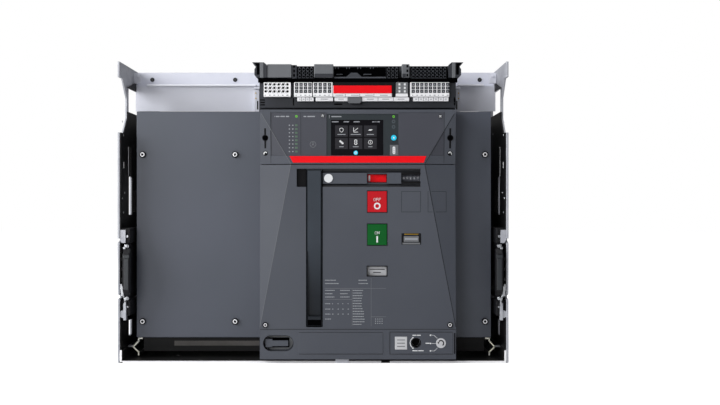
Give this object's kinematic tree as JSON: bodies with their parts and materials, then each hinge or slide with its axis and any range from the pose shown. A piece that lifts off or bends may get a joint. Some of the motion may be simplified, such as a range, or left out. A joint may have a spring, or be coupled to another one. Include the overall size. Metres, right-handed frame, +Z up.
{
  "type": "draw-out air circuit breaker",
  "caption": "Draw-out air circuit breaker: a withdrawable switching unit with front controls, racking gear, shutters and rear busbar terminals in a sheet-steel cradle.",
  "frame": {"origin": "centre of the four fixing holes, on the underside of the cradle's tray", "axes": "+X to the right seen from the front, +Y to the rear terminals, +Z up"},
  "size_m": [0.551, 0.3842, 0.425],
  "materials": {
    "galvanised_steel": "galvanised sheet, satin",
    "black_liner": "black insulating sheet",
    "black_moulding": "black moulded, fine grain",
    "copper": "bare copper, brushed",
    "zinc_yellow": "yellow passivated zinc",
    "bright_steel": "bright zinc plated",
    "dark_steel": "black coated steel",
    "shutter_red": "grey moulded",
    "cover_grey": "anthracite moulded, fine grain",
    "panel_grey": "anthracite powder coat",
    "light_grey": "grey moulded",
    "off_red": "red moulded",
    "on_green": "green moulded",
    "pale_grey": "pale grey moulded",
    "white_label": "white moulded",
    "stripe_red": "red film",
    "display_teal": "dark display housing",
    "cyan": "cyan key",
    "arc_grey": "grey moulded"
  },
  "bodies": {
    "cradle": {"side_wall_left": "galvanised_steel", "side_wall_right": "galvanised_steel", "wall_liner_left": "black_liner", "wall_liner_right": "black_liner", "base_tray": "galvanised_steel", "upper_crossbar": "galvanised_steel", "rear_insulating_wall": "black_moulding", "upper_terminals": "copper", "lower_terminals": "copper", "shutter_guides": "black_moulding", "guide_blocks": "black_moulding", "lower_guides": "zinc_yellow", "guide_bolts": "bright_steel", "racking_nut": "bright_steel", "terminal_box": "black_moulding", "terminal_covers": "light_grey", "terminal_blocks": "white_label"},
    "rails": {"extraction_rails": "dark_steel", "rail_handles": "black_moulding", "handle_screws": "bright_steel"},
    "breaker": {"underframe": "galvanised_steel", "mechanism_side_plates": "galvanised_steel", "pole_block": "black_moulding", "arc_chutes": "arc_grey", "upper_jaws": "copper", "lower_jaws": "copper", "mechanism_frame": "galvanised_steel", "closing_springs": "dark_steel", "blank_panel_left": "panel_grey", "blank_panel_right": "panel_grey", "front_cover": "cover_grey", "front_screws": "bright_steel", "front_pins": "bright_steel", "trip_unit_bezel": "cover_grey", "module_plates": "cover_grey", "display_module": "display_teal", "red_stripe": "stripe_red", "racking_fascia": "cover_grey", "cover_inserts": "cover_grey"},
    "shutter_upper": {"shutter_upper": "shutter_red"},
    "shutter_lower": {"shutter_lower": "shutter_red"},
    "moving_contacts": {"moving_contacts": "copper"},
    "main_shaft": {"main_shaft": "bright_steel"},
    "camshaft": {"camshaft": "bright_steel"},
    "charging_lever": {"charging_lever": "cover_grey"},
    "off_button": {"off_button": "off_red"},
    "on_button": {"on_button": "on_green"},
    "reset_button": {"reset_button": "pale_grey"},
    "contact_flag": {"contact_flag": "off_red"},
    "spring_flag": {"spring_flag": "pale_grey"},
    "counter_upper_wheels": {"counter_upper_wheels": "black_moulding"},
    "counter_units_wheel": {"counter_units_wheel": "black_moulding"},
    "home_button": {"home_button": "cyan"},
    "test_button": {"test_button": "cyan"},
    "quarter_turn_left": {"quarter_turn_left": "black_moulding"},
    "quarter_turn_right": {"quarter_turn_right": "black_moulding"},
    "padlock_lever": {"padlock_lever": "black_moulding"},
    "racking_release_button": {"racking_release_button": "pale_grey"},
    "position_dial": {"position_dial": "pale_grey"},
    "racking_screw": {"racking_screw": "bright_steel"}
  },
  "joints": [
    {"name": "rail_slide", "type": "slide", "parent": "cradle", "child": "rails", "axis": [0, -1, 0], "range_m": [0, 0.2]},
    {"name": "racking_slide", "type": "slide", "parent": "rails", "child": "breaker", "axis": [0, -1, 0], "range_m": [0, 0.06]},
    {"name": "shutter_upper_slide", "type": "slide", "parent": "cradle", "child": "shutter_upper", "axis": [0, 0, -1], "range_m": [0, 0.057]},
    {"name": "shutter_lower_slide", "type": "slide", "parent": "cradle", "child": "shutter_lower", "axis": [0, 0, 1], "range_m": [0, 0.057]},
    {"name": "racking_screw_turn", "type": "hinge", "parent": "breaker", "child": "racking_screw", "pos_m": [0.1443, 0, 0.0301], "axis": [0, -1, 0], "range_deg": [0, 3600]},
    {"name": "dial_turn", "type": "hinge", "parent": "breaker", "child": "position_dial", "pos_m": [0.1791, -0.162, 0.0297], "axis": [0, -1, 0], "range_deg": [0, 90]},
    {"name": "contacts_open", "type": "hinge", "parent": "breaker", "child": "moving_contacts", "pos_m": [0, 0.012, 0.14], "axis": [1, 0, 0], "range_deg": [0, 15]},
    {"name": "main_shaft_turn", "type": "hinge", "parent": "breaker", "child": "main_shaft", "pos_m": [0, -0.018, 0.19], "axis": [1, 0, 0], "range_deg": [0, 45]},
    {"name": "contact_flag_turn", "type": "hinge", "parent": "breaker", "child": "contact_flag", "pos_m": [0.09, -0.148, 0.26], "axis": [1, 0, 0], "range_deg": [0, 90]},
    {"name": "camshaft_turn", "type": "hinge", "parent": "breaker", "child": "camshaft", "pos_m": [0.063, -0.0825, 0.15], "axis": [1, 0, 0], "range_deg": [0, 170]},
    {"name": "spring_flag_turn", "type": "hinge", "parent": "breaker", "child": "spring_flag", "pos_m": [0.09, -0.148, 0.1303], "axis": [1, 0, 0], "range_deg": [0, 85]},
    {"name": "charging_lever_pull", "type": "hinge", "parent": "breaker", "child": "charging_lever", "pos_m": [0.0021, -0.1575, 0.062], "axis": [1, 0, 0], "range_deg": [0, 80], "stiffness_Nm_per_rad": 0.5, "springref_deg": -11.46},
    {"name": "off_button_press", "type": "slide", "parent": "breaker", "child": "off_button", "axis": [0, 1, 0], "range_m": [0, 0.005], "stiffness_N_per_m": 800, "springref_m": -0.002},
    {"name": "on_button_press", "type": "slide", "parent": "breaker", "child": "on_button", "axis": [0, 1, 0], "range_m": [0, 0.005], "stiffness_N_per_m": 800, "springref_m": -0.002},
    {"name": "reset_button_press", "type": "slide", "parent": "breaker", "child": "reset_button", "axis": [0, 1, 0], "range_m": [0, 0.003], "stiffness_N_per_m": 600, "springref_m": -0.002},
    {"name": "home_button_press", "type": "slide", "parent": "breaker", "child": "home_button", "axis": [0, 1, 0], "range_m": [0, 0.0015], "stiffness_N_per_m": 500, "springref_m": -0.001},
    {"name": "test_button_press", "type": "slide", "parent": "breaker", "child": "test_button", "axis": [0, 1, 0], "range_m": [0, 0.0015], "stiffness_N_per_m": 500, "springref_m": -0.001},
    {"name": "racking_release_press", "type": "slide", "parent": "breaker", "child": "racking_release_button", "axis": [0, 1, 0], "range_m": [0, 0.003], "stiffness_N_per_m": 600, "springref_m": -0.002},
    {"name": "counter_upper_turn", "type": "hinge", "parent": "breaker", "child": "counter_upper_wheels", "pos_m": [0.135, -0.148, 0.2604], "axis": [1, 0, 0], "continuous": true},
    {"name": "counter_units_turn", "type": "hinge", "parent": "breaker", "child": "counter_units_wheel", "pos_m": [0.147, -0.148, 0.2604], "axis": [1, 0, 0], "continuous": true},
    {"name": "quarter_turn_left_turn", "type": "hinge", "parent": "breaker", "child": "quarter_turn_left", "pos_m": [-0.0667, -0.162, 0.3166], "axis": [0, -1, 0], "range_deg": [0, 90]},
    {"name": "quarter_turn_right_turn", "type": "hinge", "parent": "breaker", "child": "quarter_turn_right", "pos_m": [0.1923, -0.162, 0.3166], "axis": [0, -1, 0], "range_deg": [0, 90]},
    {"name": "padlock_lever_swing", "type": "hinge", "parent": "breaker", "child": "padlock_lever", "pos_m": [-0.0638, -0.157, 0.0297], "axis": [0, 0, -1], "range_deg": [0, 60]}
  ],
  "couplings": [
    {"joint": "shutter_upper_slide", "follows": "racking_slide", "ratio": 0.95},
    {"joint": "shutter_lower_slide", "follows": "racking_slide", "ratio": 0.95},
    {"joint": "racking_screw_turn", "follows": "racking_slide", "rad_per_m": 1047.2},
    {"joint": "dial_turn", "follows": "racking_slide", "rad_per_m": 26.17},
    {"joint": "main_shaft_turn", "follows": "contacts_open", "ratio": 3},
    {"joint": "contact_flag_turn", "follows": "contacts_open", "ratio": 6},
    {"joint": "spring_flag_turn", "follows": "camshaft_turn", "ratio": 0.5},
    {"joint": "counter_units_turn", "follows": "counter_upper_turn", "ratio": 10}
  ]
}
